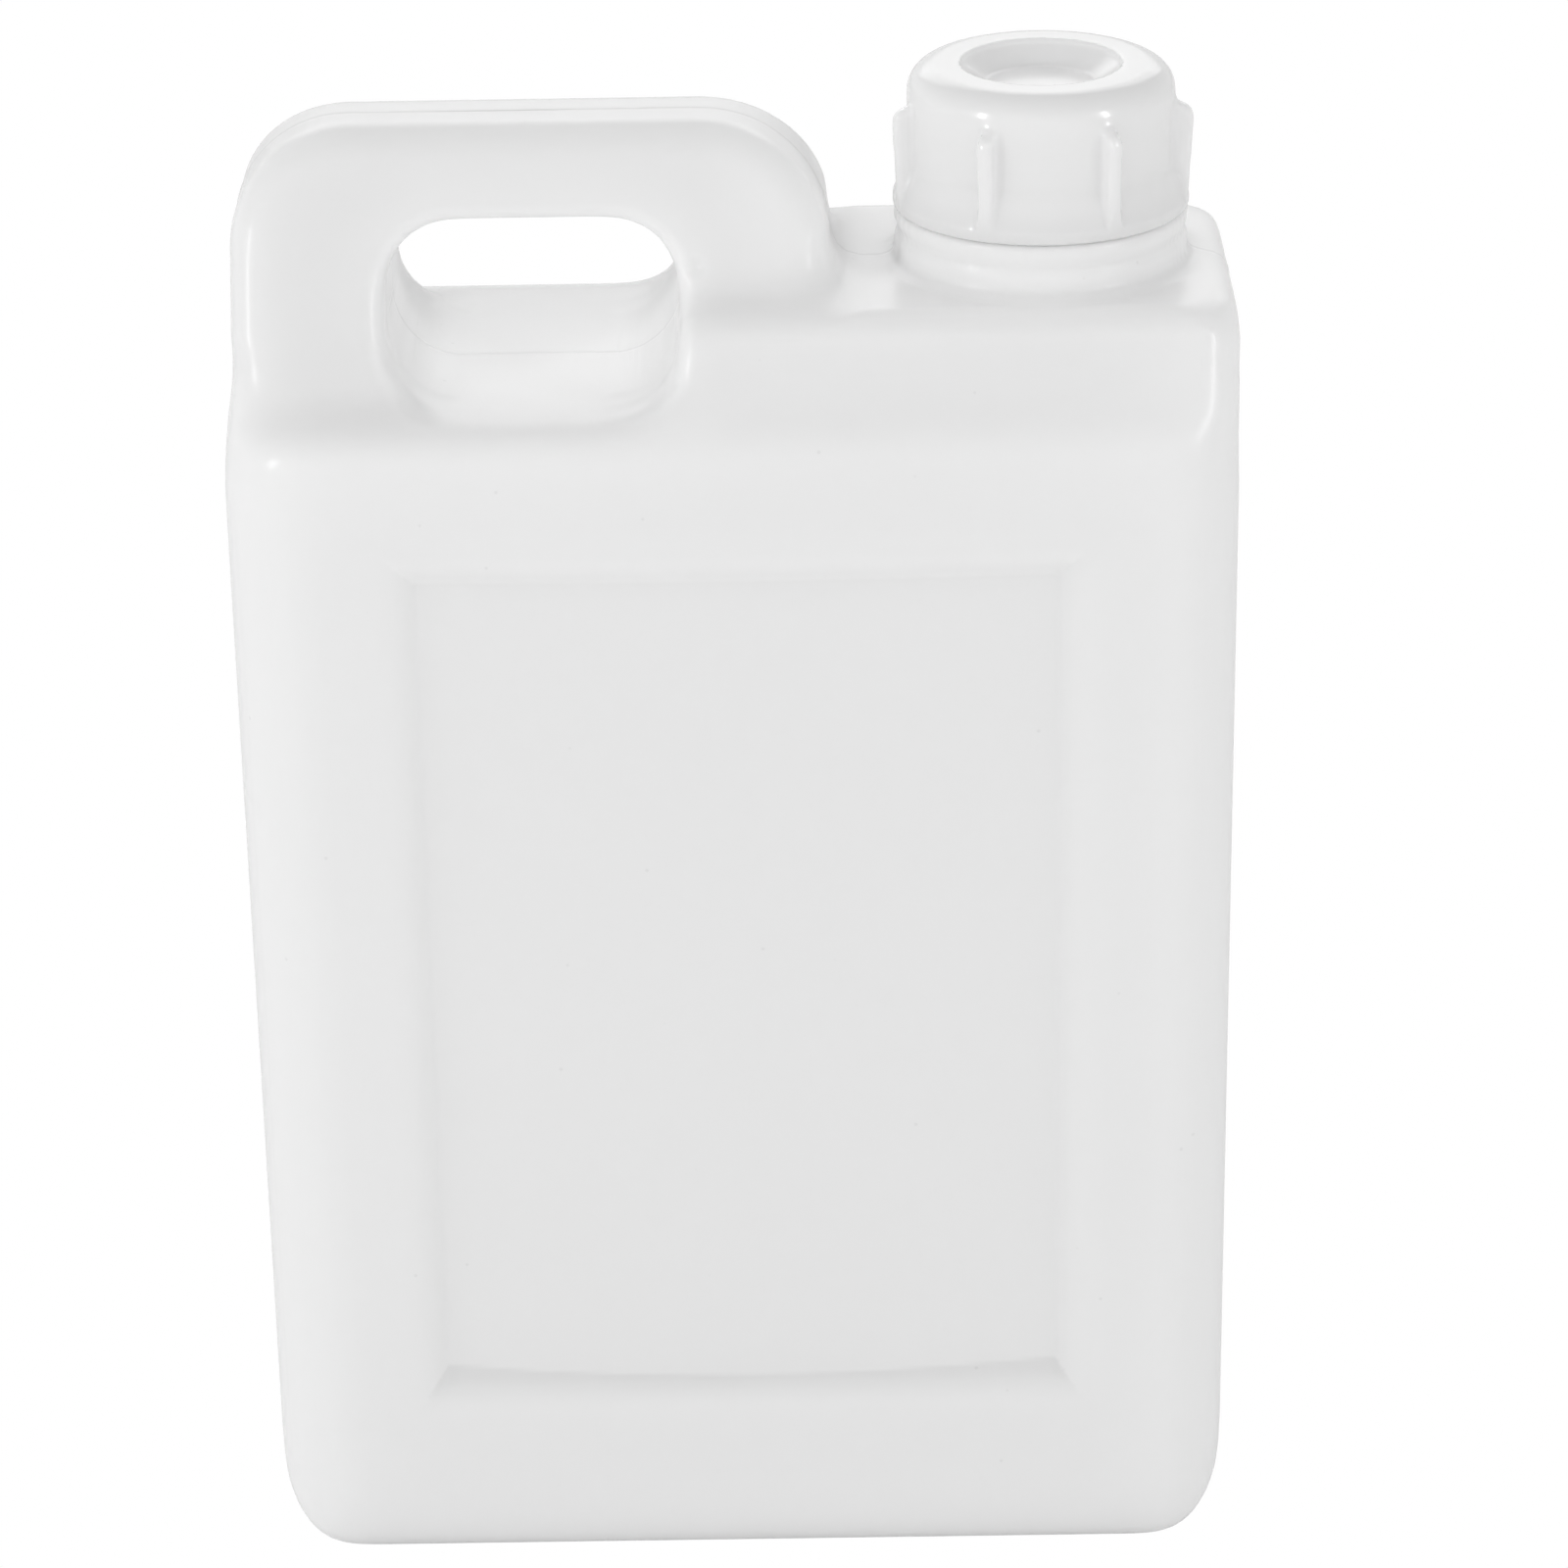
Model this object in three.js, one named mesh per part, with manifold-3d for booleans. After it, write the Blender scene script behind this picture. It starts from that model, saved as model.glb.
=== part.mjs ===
// Flat two litre bottle of blow moulded plastic, with a grip moulded into its top and a winged screw cap.
// Millimetres, +Z up, front face towards -Y, origin at the middle of the base.

import * as THREE from 'three';
import { mergeVertices } from 'three/addons/utils/BufferGeometryUtils.js';
import Module from 'manifold-3d';

const wasm = await Module();
wasm.setup();

// Body: a rounded box, a little narrower at the base
const bodyWidth = 152;
const baseWidth = 151;
const bodyDepth = 76;
const cornerRadius = 12;
const baseSideRadius = 12.5;
const baseFrontRadius = 3.5;
const shoulderStart = 184;
const ledgeHeight = 189.9;
const ledgeWidth = 151;
const ledgeDepth = 69.4;

// Label panel: a shallow recess in the front and back faces, which belly out in the middle
const panelLeft = -51.5;
const panelRight = 52.5;
const panelBottom = 27.5;
const panelTop = 171;
const panelWall = 3.7;
const panelDepth = 2;
const belly = 2.2;
const bellyHalfWidth = 62;
const bellyLowerEnd = [8, 70];
const bellyUpperEnd = [158, 188];

// Shoulder block that carries the neck, beside the grip
const blockRight = 75.1;
const blockEndRadius = 6.5;
const blockCornerRadius = 10;
const blockFootStep = 0.35;
const blockStraightTop = 200.6;
const blockStraightHalfDepth = 29.4;
const blockRollAngle = Math.PI / 3;
const flatHeight = 204.7;
const flatHalfDepth = 24.9;

// Grip: a wedge that is thick at its foot and thin at its top
const gripLeft = -74.7;
const gripRight = 15.2;
const gripTop = 228.5;
const gripTopHalfDepth = 8;
const gripTopRadius = 4;
const gripEdgeRadius = 6;
const gripLeftArc = 17.5;
const gripRightArc = 19.5;
const gripFootRadius = 7;
const wedgeSlope = 0.453;

// Finger hole through the grip, standing on the ledge
const holeLeft = -51.5;
const holeRight = -7.5;
const holeTop = 215.6;
const holeRadius = 10;
const holeFootRadius = 8;
const holeLip = 4;
const blockLip = 6.5;
const plugSink = 0.15;

// Neck and cap, on one axis
const neckX = 47.2;
const neckFootRadius = 23.8;
const neckRadius = 20.6;
const neckBead = 21.2;
const neckBeadHeight = 208.6;
const neckTop = 212.9;
const capBottom = 213.2;
const capTop = 234.6;
const capRadius = 20.2;
const capEdgeRadius = 5;
const ringRadius = 22.4;
const ringHeight = 3.4;
const recessRadius = 12.1;
const recessFloorRadius = 8.2;
const recessDepth = 3.2;

// Wings on the cap
const wingCount = 7;
const wingTurn = 1.3;
const wingReach = 22.4;
const wingRoot = 18;
const wingThickness = 2.3;
const wingTop = 229.6;
const wingCorner = 2.2;

// How finely round shapes are divided
const cornerSteps = 5;
const roundSides = 56;

const smoothstep = (a, b, v) => {
  const u = Math.min(Math.max((v - a) / (b - a), 0), 1);
  return u * u * (3 - 2 * u);
};

// Depth of a quarter circle of the given radius, measured back from its tangent, at a distance along it
const roundOff = (radius, distance) => {
  const t = Math.min(Math.max(1 - distance / radius, 0), 1);
  return radius * (1 - Math.sqrt(1 - t * t));
};

// Values from a to b, with the ends included
const steps = (a, b, count) => Array.from({ length: count + 1 }, (_, i) => a + ((b - a) * i) / count);

// Points of one horizontal section: a rounded rectangle, anticlockwise from above,
// with extra points on its long sides where relief may push it in or out, drawn together where it is narrow
function sectionPoints({ z, left, right, halfDepth, radius, leftRadius = radius }, columns, relief) {
  const points = [];
  const corner = (cx, cy, r, start) => {
    for (const angle of steps(start, start + Math.PI / 2, cornerSteps)) {
      points.push(new THREE.Vector3(cx + r * Math.cos(angle), cy + r * Math.sin(angle), z));
    }
  };
  const fit = Math.min((right - radius - 1) / Math.max(...columns.map(Math.abs), 1), 1);
  const long = (list, side) => {
    for (const x of list) points.push(new THREE.Vector3(x * fit, side * (halfDepth + relief(x, z)), z));
  };
  long(columns, -1);
  corner(right - radius, -halfDepth + radius, radius, -Math.PI / 2);
  corner(right - radius, halfDepth - radius, radius, 0);
  long([...columns].reverse(), 1);
  corner(left + leftRadius, halfDepth - leftRadius, leftRadius, Math.PI / 2);
  corner(left + leftRadius, -halfDepth + leftRadius, leftRadius, Math.PI);
  return points;
}

// A closed solid through rings of equally many points, with a fan over each end.
// Each quad is split along the diagonal that changes more in depth, which mitres the panel's corners.
function loft(rings) {
  const count = rings[0].length;
  const vertices = rings.flat();
  const index = [];
  const depthChange = (a, b) => Math.abs(vertices[a].y - vertices[b].y);
  for (let j = 0; j + 1 < rings.length; j++) {
    for (let i = 0; i < count; i++) {
      const a = j * count + i;
      const b = j * count + ((i + 1) % count);
      const c = b + count;
      const d = a + count;
      if (depthChange(a, c) >= depthChange(b, d)) index.push(a, b, c, a, c, d);
      else index.push(a, b, d, b, c, d);
    }
  }
  for (const [ring, offset, flip] of [[rings[0], 0, true], [rings.at(-1), vertices.length - count, false]]) {
    const middle = ring.reduce((sum, v) => sum.add(v), new THREE.Vector3()).divideScalar(count);
    const hub = vertices.push(middle) - 1;
    for (let i = 0; i < count; i++) {
      const a = offset + i;
      const b = offset + ((i + 1) % count);
      index.push(hub, flip ? b : a, flip ? a : b);
    }
  }
  const geometry = new THREE.BufferGeometry().setFromPoints(vertices);
  geometry.setIndex(index);
  return geometry;
}

const stack = (levels, columns = [], relief = () => 0) =>
  loft(levels.map((level) => sectionPoints(level, columns, relief)));

// Booleans: from a geometry to a solid and back
function solid(geometry) {
  const bare = geometry.clone();
  bare.deleteAttribute('normal');
  bare.deleteAttribute('uv');
  const merged = mergeVertices(bare, 1e-4);
  return new wasm.Manifold(
    new wasm.Mesh({
      numProp: 3,
      vertProperties: new Float32Array(merged.attributes.position.array),
      triVerts: new Uint32Array(merged.index.array),
    }),
  );
}

function geometryOf(manifold) {
  const { vertProperties, triVerts } = manifold.getMesh();
  const geometry = new THREE.BufferGeometry();
  geometry.setAttribute('position', new THREE.BufferAttribute(vertProperties, 3));
  geometry.setIndex(new THREE.BufferAttribute(triVerts, 1));
  geometry.computeVertexNormals();
  return geometry;
}

// Body, with the panel and the belly of its faces as relief
function bodyGeometry() {
  const innerLeft = panelLeft + panelWall;
  const innerRight = panelRight - panelWall;
  const innerBottom = panelBottom + panelWall;
  const innerTop = panelTop - panelWall;
  const columns = [-bellyHalfWidth, panelLeft, ...steps(innerLeft, innerRight, 8), panelRight, bellyHalfWidth];
  const relief = (x, z) => {
    const across = Math.max(1 - (x / bellyHalfWidth) ** 2, 0);
    const along = smoothstep(...bellyLowerEnd, z) - smoothstep(...bellyUpperEnd, z);
    const tight = 0.01;
    const inWidth = x > innerLeft - tight && x < innerRight + tight;
    const inHeight = z > innerBottom - tight && z < innerTop + tight;
    return belly * across * along - (inWidth && inHeight ? panelDepth : 0);
  };
  const baseHeights = [0, 0.3, 1, 2.2, baseFrontRadius, 6, 9, baseSideRadius, 20];
  const panelHeights = [panelBottom, ...steps(innerBottom, innerTop, 9), panelTop];
  const levels = [...baseHeights, ...panelHeights, 178].map((z) => {
    const width = baseWidth + ((bodyWidth - baseWidth) * z) / shoulderStart;
    const sideRound = roundOff(baseSideRadius, z);
    const frontRound = roundOff(baseFrontRadius, z);
    return {
      z,
      left: -width / 2 + sideRound,
      right: width / 2 - sideRound,
      halfDepth: bodyDepth / 2 - frontRound,
      radius: cornerRadius - Math.min(sideRound, cornerRadius - 4) * 0.5,
    };
  });
  for (const angle of steps(0, Math.PI / 2, 5)) {
    const inward = 1 - Math.cos(angle);
    levels.push({
      z: shoulderStart + (ledgeHeight - shoulderStart) * Math.sin(angle),
      left: -bodyWidth / 2 + ((bodyWidth - ledgeWidth) / 2) * inward,
      right: bodyWidth / 2 - ((bodyWidth - ledgeWidth) / 2) * inward,
      halfDepth: bodyDepth / 2 - ((bodyDepth - ledgeDepth) / 2) * inward,
      radius: cornerRadius - 2 * inward,
    });
  }
  return stack(levels, columns, relief);
}

// Half depth of the shoulder block at a height: straight steep sides that roll over into the flat
function blockHalfDepth(z) {
  const ledgeHalfDepth = ledgeDepth / 2 - blockFootStep;
  if (z <= blockStraightTop) {
    const up = Math.max(z - ledgeHeight, 0) / (blockStraightTop - ledgeHeight);
    return ledgeHalfDepth + (blockStraightHalfDepth - ledgeHalfDepth) * up;
  }
  const rise = Math.min((z - blockStraightTop) / (flatHeight - blockStraightTop), 1);
  const angle = Math.asin(rise * Math.sin(blockRollAngle));
  const inward = (1 - Math.cos(angle)) / (1 - Math.cos(blockRollAngle));
  return blockStraightHalfDepth - (blockStraightHalfDepth - flatHalfDepth) * inward;
}

// Shoulder block, from inside the body to the flat; the finger hole cuts its left end
function blockGeometry() {
  const rollHeights = steps(0, blockRollAngle, 3).map(
    (angle) => blockStraightTop + ((flatHeight - blockStraightTop) * Math.sin(angle)) / Math.sin(blockRollAngle),
  );
  const levels = [ledgeHeight - 2, ledgeHeight, 194, ...rollHeights].map((z) => ({
    z,
    left: holeRight - holeFootRadius - 1,
    right: blockRight - roundOff(blockEndRadius, flatHeight - z) * 0.8,
    halfDepth: blockHalfDepth(z),
    radius: blockCornerRadius,
    leftRadius: 1,
  }));
  return stack(levels);
}

// Half depth of the grip at a height: the wedge, its fillet onto the ledge and its rounded top
function gripHalfDepth(z) {
  const topStart = gripTop - gripTopRadius * 0.55;
  const wedge = gripTopHalfDepth + 2.6 + (topStart - z) * wedgeSlope;
  const foot = roundOff(gripFootRadius, z - ledgeHeight) * 0.8;
  const top = z > topStart ? 2.6 * ((z - topStart) / (gripTop - topStart)) ** 1.6 : 0;
  return wedge + foot - top;
}

// How far an arc of the grip's outline has come in at a height
function arcInset(radius, z) {
  const rise = z - (gripTop - radius);
  return rise > 0 ? radius - Math.sqrt(Math.max(radius ** 2 - rise ** 2, 0)) : 0;
}

// Grip: horizontal sections up to its flat top
function gripGeometry() {
  const footHeights = [ledgeHeight - 1.5, ledgeHeight, 190.6, 191.8, 194, 197.5, 201, flatHeight, 206, 207.5, 209.5];
  const topHeights = [2.2, 1.4, 0.7, 0.25, 0].map((drop) => gripTop - drop);
  const levels = [...footHeights, ...steps(212, gripTop - 3, 7), ...topHeights].map((z) => {
    const halfDepth = gripHalfDepth(Math.max(z, ledgeHeight));
    const foot = z >= flatHeight ? roundOff(gripFootRadius, z - flatHeight) : gripFootRadius;
    return {
      z,
      left: gripLeft + arcInset(gripLeftArc, z),
      right: gripRight - arcInset(gripRightArc, z) + foot,
      halfDepth,
      radius: Math.min(gripEdgeRadius, halfDepth * 0.55),
    };
  });
  return stack(levels);
}

// Outline of the hole: points in x and z, each with its direction outwards, clockwise seen from the front.
// It dips a little under the ledge, so that the ledge itself is the floor of the hole.
function holeOutline() {
  const points = [];
  const arc = (cx, cz, r, start) => {
    for (const angle of steps(start, start + Math.PI / 2, cornerSteps)) {
      const [dx, dz] = [Math.cos(angle), Math.sin(angle)];
      points.push({ x: cx + r * dx, z: cz + r * dz, dx, dz });
    }
  };
  const footCentre = ledgeHeight + holeFootRadius - plugSink;
  arc(holeRight - holeRadius, holeTop - holeRadius, holeRadius, 0);
  arc(holeLeft + holeRadius, holeTop - holeRadius, holeRadius, Math.PI / 2);
  arc(holeLeft + holeFootRadius, footCentre, holeFootRadius, Math.PI);
  arc(holeRight - holeFootRadius, footCentre, holeFootRadius, 1.5 * Math.PI);
  for (const z of [blockStraightTop, flatHeight]) points.push({ x: holeRight, z, dx: 1, dz: 0 });
  return points.reverse();
}

// Plug that cuts the hole: straight through the middle, rounded outwards at the faces of the grip and the block
function holePlugGeometry() {
  const outline = holeOutline();
  const holeMiddle = (holeLeft + holeRight) / 2;
  const reach = 12;
  const ringAt = ({ out, back }, side) =>
    outline.map(({ x, z, dx, dz }) => {
      const onBlock = x > holeMiddle && z <= flatHeight;
      const lip = onBlock ? blockLip : holeLip;
      const height = z + dz * lip * out;
      const face = onBlock ? blockHalfDepth(height) : gripHalfDepth(Math.max(height, ledgeHeight + gripFootRadius));
      return new THREE.Vector3(x + dx * lip * out, side * (face - lip * back), height);
    });
  const lipLayers = steps(0, Math.PI / 2, 4).map((angle) => ({
    out: 1 - Math.cos(angle),
    back: 1 - Math.sin(angle),
  }));
  const beyond = { out: 1, back: -reach / holeLip };
  const front = [beyond, ...[...lipLayers].reverse()].map((layer) => ringAt(layer, -1));
  const rear = [...lipLayers, beyond].map((layer) => ringAt(layer, 1));
  return loft([...front, ...rear]);
}

// Neck: a round collar with a flared foot and a small bead, rising from the flat
function neckGeometry() {
  const footRise = 2.6;
  const profile = [
    [0, flatHeight - 2],
    [neckFootRadius - 1, flatHeight - 2],
    [neckFootRadius, flatHeight],
    [neckFootRadius - 1.3, flatHeight + 0.45],
    [neckBead + 0.5, flatHeight + 1.3],
    [neckBead, flatHeight + footRise],
    [neckBead, neckBeadHeight],
    [neckRadius, neckBeadHeight + 0.5],
    [neckRadius, neckTop],
    [0, neckTop],
  ];
  const geometry = new THREE.LatheGeometry(profile.map(([r, z]) => new THREE.Vector2(r, z)), roundSides);
  geometry.rotateX(Math.PI / 2);
  geometry.translate(neckX, 0, 0);
  return geometry;
}

function bottleGeometry() {
  const shoulder = solid(gripGeometry()).add(solid(blockGeometry())).subtract(solid(holePlugGeometry()));
  const bottle = solid(bodyGeometry()).add(shoulder).add(solid(neckGeometry()));
  return geometryOf(bottle);
}

// Cap: turned body with a dished top and a lower ring, and wings round its side
function capGeometry() {
  const roundEdge = steps(0, Math.PI / 2, 5).map((angle) => [
    capRadius - capEdgeRadius * (1 - Math.cos(angle)),
    capTop - capEdgeRadius * (1 - Math.sin(angle)),
  ]);
  const profile = [
    [0, capBottom],
    [ringRadius - 0.5, capBottom],
    [ringRadius, capBottom + 0.5],
    [ringRadius, capBottom + ringHeight - 0.9],
    [ringRadius - 0.9, capBottom + ringHeight],
    [capRadius, capBottom + ringHeight + 0.4],
    ...roundEdge,
    [recessRadius, capTop],
    [recessRadius - 0.7, capTop - 0.6],
    [recessFloorRadius, capTop - recessDepth],
    [0, capTop - recessDepth],
  ];
  const turned = new THREE.LatheGeometry(profile.map(([r, z]) => new THREE.Vector2(r, z)), roundSides);
  turned.rotateX(Math.PI / 2);

  // One wing: a thin upright plate with its outer top corner rounded
  const outline = new THREE.Shape();
  outline.moveTo(wingRoot, capBottom + 1);
  outline.lineTo(wingReach, capBottom + 1);
  outline.lineTo(wingReach, wingTop - wingCorner);
  outline.absarc(wingReach - wingCorner, wingTop - wingCorner, wingCorner, 0, Math.PI / 2, false);
  outline.lineTo(wingRoot, wingTop);
  const wing = new THREE.ExtrudeGeometry(outline, { depth: wingThickness, bevelEnabled: false, curveSegments: 4 });
  wing.translate(0, 0, -wingThickness / 2);
  wing.rotateX(Math.PI / 2);

  let cap = solid(turned);
  for (let i = 0; i < wingCount; i++) {
    const turn = -Math.PI / 2 + THREE.MathUtils.degToRad(wingTurn + (360 / wingCount) * (i + 0.5));
    cap = cap.add(solid(wing.clone().rotateZ(turn)));
  }
  return geometryOf(cap);
}

const plastic = (colour, roughness) => new THREE.MeshStandardMaterial({ color: colour, roughness, metalness: 0 });

const bottle = new THREE.Mesh(bottleGeometry(), plastic(0xe9e9e8, 0.36));
bottle.name = 'bottle';

const cap = new THREE.Mesh(capGeometry(), plastic(0xe4e4e3, 0.3));
cap.name = 'cap';
cap.position.set(neckX, 0, 0);

const part = new THREE.Group();
part.name = 'flat_bottle';
part.add(bottle, cap);

export default part;
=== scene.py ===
"""Flat two litre bottle of milky plastic: a blow moulded body with a grip, and a winged screw cap."""
import math

import bmesh
import bpy
from mathutils import Matrix, Vector
from mathutils.kdtree import KDTree


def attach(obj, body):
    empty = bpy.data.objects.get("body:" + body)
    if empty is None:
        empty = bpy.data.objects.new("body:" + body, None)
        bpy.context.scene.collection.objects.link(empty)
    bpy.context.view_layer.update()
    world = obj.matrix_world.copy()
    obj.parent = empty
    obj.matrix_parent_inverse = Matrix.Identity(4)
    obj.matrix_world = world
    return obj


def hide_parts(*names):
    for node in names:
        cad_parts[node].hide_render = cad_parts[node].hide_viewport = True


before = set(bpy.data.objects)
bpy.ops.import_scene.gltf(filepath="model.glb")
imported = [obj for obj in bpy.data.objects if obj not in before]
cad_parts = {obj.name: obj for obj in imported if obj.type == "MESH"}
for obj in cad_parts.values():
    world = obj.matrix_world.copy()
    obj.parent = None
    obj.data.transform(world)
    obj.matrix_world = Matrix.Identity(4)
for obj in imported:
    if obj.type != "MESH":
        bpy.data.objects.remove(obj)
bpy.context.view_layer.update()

MM = 0.001
TINY = 0.02 * MM
VOXEL = 0.65 * MM
CAP_VOXEL = 0.3 * MM

# Body
BODY_TOP_WIDTH = 152 * MM
BODY_BASE_WIDTH = 151 * MM
BODY_DEPTH = 76 * MM
SHOULDER_START = 184 * MM
LEDGE = 189.9 * MM
LEDGE_HALF_DEPTH = 34.7 * MM
LEDGE_HALF_WIDTH = 75.5 * MM
CORNER_RADIUS = 12 * MM
CORNER_SEGMENTS = 10
SHOULDER_STEPS = 5
BASE_SIDE_RADIUS = 12.5 * MM
BASE_FRONT_RADIUS = 3.5 * MM
FOOT_SLACK = 0.04 * MM

# Label panel, the same in the front and the back
PANEL_LEFT = -51.5 * MM
PANEL_RIGHT = 52.5 * MM
PANEL_BOTTOM = 27.5 * MM
PANEL_TOP = 171 * MM
PANEL_WALL = 3.9 * MM
PANEL_DEPTH = 1.8 * MM
PANEL_COLUMNS = 12
PANEL_STEPS = 5
PANEL_CURL = 1.25
PANEL_CORNER_LIFT = 2.6 * MM
BELLY = 2.2 * MM
BELLY_HALF_WIDTH = 62 * MM
BELLY_STARTS = (8 * MM, 70 * MM)
BELLY_ENDS = (158 * MM, 188 * MM)

# Shoulder block and neck collar
BLOCK_RIGHT = 76 * MM
BLOCK_CORNER_RADIUS = 7 * MM
BLOCK_ROLL_START = 200.6 * MM
BLOCK_ROLL_HALF_DEPTH = 29.4 * MM
FLAT = 204.7 * MM
FLAT_HALF_DEPTH = 24.9 * MM
ROLL_ANGLE = math.radians(60)
ROLL_STEPS = 6
NECK_X = 47.2 * MM
NECK_FOOT_RADIUS = 23.6 * MM
NECK_FOOT_TOP = 205.2 * MM
NECK_LOWER_RADIUS = 22.2 * MM
NECK_LOWER_RISE = 3.2 * MM
NECK_BAND_RADIUS = 21.7 * MM
NECK_BAND_RISE = 2.4 * MM
NECK_BEAD_RADIUS = 22.2 * MM
NECK_BEAD_RISE = 2.25 * MM

# Grip and its finger hole
GRIP_LEFT = -74.7 * MM
GRIP_RIGHT = 15.2 * MM
GRIP_TOP = 228.5 * MM
GRIP_TOP_HALF_DEPTH = 9.6 * MM
GRIP_LEFT_CORNER = 17.5 * MM
GRIP_RIGHT_CORNER = 19.5 * MM
GRIP_EDGE_RADIUS = 4.5 * MM
WEDGE_SLOPE = 0.453
HOLE_LEFT = -51.5 * MM
HOLE_RIGHT = -7.5 * MM
HOLE_TOP = 215.6 * MM
HOLE_TOP_CORNER = 10 * MM
HOLE_FOOT_CORNER = 11 * MM
HOLE_SINK = 0.15 * MM
DIMPLE_PLACE = Vector((-5.1, -18.1, 209.4)) * MM
DIMPLE_RADIUS = 2.2 * MM
DIMPLE_DEPTH = 0.6 * MM

# Parting line
SEAM_HEIGHT = 0.08 * MM
SEAM_LINES = (-1 * MM, -0.35 * MM, 0, 0.35 * MM, 1 * MM)
SEAM_HALF_WIDTH = 0.15 * MM
SEAM_FADE = 0.3 * MM
SEAM_TONE = 0.88

# Plastic: how much lighter painted light makes the colour, or painted shade darker, and how far light
# spreads where light is painted
PLASTIC_GREY = (0.9, 0.9, 0.9)
PAINTED_LIGHT_GAIN = 1.1
SPREAD_WHERE_LIGHT_PAINTED = 2 * MM
BOTTLE_SPREAD = 12 * MM
CAP_SPREAD = 4 * MM
SPECK_TONE = 0.93
# Painted shade: the colour darkens slightly towards the bottom
FOOT_SHADE = 0.98
FOOT_SHADE_TOP = 90 * MM

# Cap
CAP_BOTTOM = 213.2 * MM
CAP_TOP = 234.9 * MM
CAP_RADIUS = 20.2 * MM
RING_RADIUS = 22.4 * MM
RING_HEIGHT = 6.8 * MM
RING_SLOPE = 1.6 * MM
RECESS_RADIUS = 12.1 * MM
RECESS_FLOOR_RADIUS = 8.2 * MM
RECESS_DEPTH = 3.2 * MM
RECESS_LIP = 0.6 * MM
CAP_EDGE_RADIUS = 4.3 * MM
WING_COUNT = 7
WING_TURN = 1.3
WING_TOP = 229.6 * MM
WING_THICKNESS = 2.3 * MM
WING_RADIUS = 23.3 * MM
WING_CORNER_RADIUS = 2.2 * MM


def leave_and_deselect():
    """Back to object mode, with nothing selected."""
    if bpy.context.object and bpy.context.object.mode != "OBJECT":
        bpy.ops.object.mode_set(mode="OBJECT")
    bpy.ops.object.select_all(action="DESELECT")


def take(piece):
    """Select one piece alone."""
    leave_and_deselect()
    piece.select_set(True)
    bpy.context.view_layer.objects.active = piece


def settle(piece, name):
    """Name a new primitive and put its place and size into its mesh."""
    piece.name = name
    piece.data.name = name
    bpy.ops.object.transform_apply(location=True, rotation=True, scale=True)
    return piece


def add_block(name, low, high):
    leave_and_deselect()
    middle = (Vector(low) + Vector(high)) / 2
    bpy.ops.mesh.primitive_cube_add(size=1, location=middle, scale=Vector(high) - Vector(low))
    return settle(bpy.context.object, name)


def add_round(name, radius, low, high, x, sides):
    leave_and_deselect()
    bpy.ops.mesh.primitive_cylinder_add(
        vertices=sides, radius=radius, depth=high - low, location=(x, 0, (low + high) / 2))
    return settle(bpy.context.object, name)


def pick(piece, kind, wanted):
    """In edit mode, select the vertices, edges or faces that a test wants."""
    take(piece)
    bpy.ops.object.mode_set(mode="EDIT")
    bpy.ops.mesh.select_mode(type={"verts": "VERT", "edges": "EDGE", "faces": "FACE"}[kind])
    bpy.ops.mesh.select_all(action="DESELECT")
    mesh = bmesh.from_edit_mesh(piece.data)
    for part in getattr(mesh, kind):
        if wanted(part):
            part.select_set(True)
    mesh.select_flush_mode()
    bmesh.update_edit_mesh(piece.data)


def ends(edge, test):
    """Whether both ends of an edge pass a test of their place."""
    return all(test(v.co) for v in edge.verts)


def near(a, b, within=TINY):
    return abs(a - b) < within


def along_depth(edge):
    """Whether an edge runs from the front to the back."""
    return near(edge.verts[0].co.x, edge.verts[1].co.x)


def on_one_side(edge):
    """Whether both ends of an edge are in front of the middle, or both behind it."""
    return edge.verts[0].co.y * edge.verts[1].co.y > 0


def round_edges(piece, wanted, radius, segments):
    pick(piece, "edges", wanted)
    bpy.ops.mesh.bevel(offset=radius, segments=segments, affect="EDGES", clamp_overlap=False)
    bpy.ops.object.mode_set(mode="OBJECT")


def raise_top(piece, heights, widths, depths):
    """Extrude the top face upwards in steps, each scaled to its half width and half depth."""
    for height, half_width, half_depth in zip(heights, widths, depths):
        top = max(v.co.z for v in piece.data.vertices)
        pick(piece, "faces", lambda f: near(f.calc_center_median().z, top) and f.normal.z > 0.9)
        corners = [v.co.copy() for v in piece.data.vertices if near(v.co.z, top)]
        old_width = max(c.x for c in corners) - min(c.x for c in corners)
        old_depth = max(c.y for c in corners) - min(c.y for c in corners)
        bpy.ops.mesh.extrude_region_move(TRANSFORM_OT_translate={"value": (0, 0, height - top)})
        bpy.ops.transform.resize(value=(2 * half_width / old_width, 2 * half_depth / old_depth, 1))
        bpy.ops.object.mode_set(mode="OBJECT")


def use_modifier(piece, kind, **settings):
    """Add a modifier, set it and apply it."""
    take(piece)
    modifier = piece.modifiers.new(kind.lower(), kind)
    for key, value in settings.items():
        setattr(modifier, key, value)
    bpy.ops.object.modifier_apply(modifier=modifier.name)


def join_or_cut(piece, other, operation):
    use_modifier(piece, "BOOLEAN", object=other, operation=operation, solver="EXACT")
    bpy.data.objects.remove(other)


def smoothstep(a, b, value):
    t = min(max((value - a) / (b - a), 0), 1)
    return t * t * (3 - 2 * t)


def weigh(piece, name, weight_at):
    """Paint a vertex group from a function of place."""
    group = piece.vertex_groups.new(name=name)
    for v in piece.data.vertices:
        weight = weight_at(v.co)
        if weight > 0:
            group.add([v.index], weight, "REPLACE")


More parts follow.
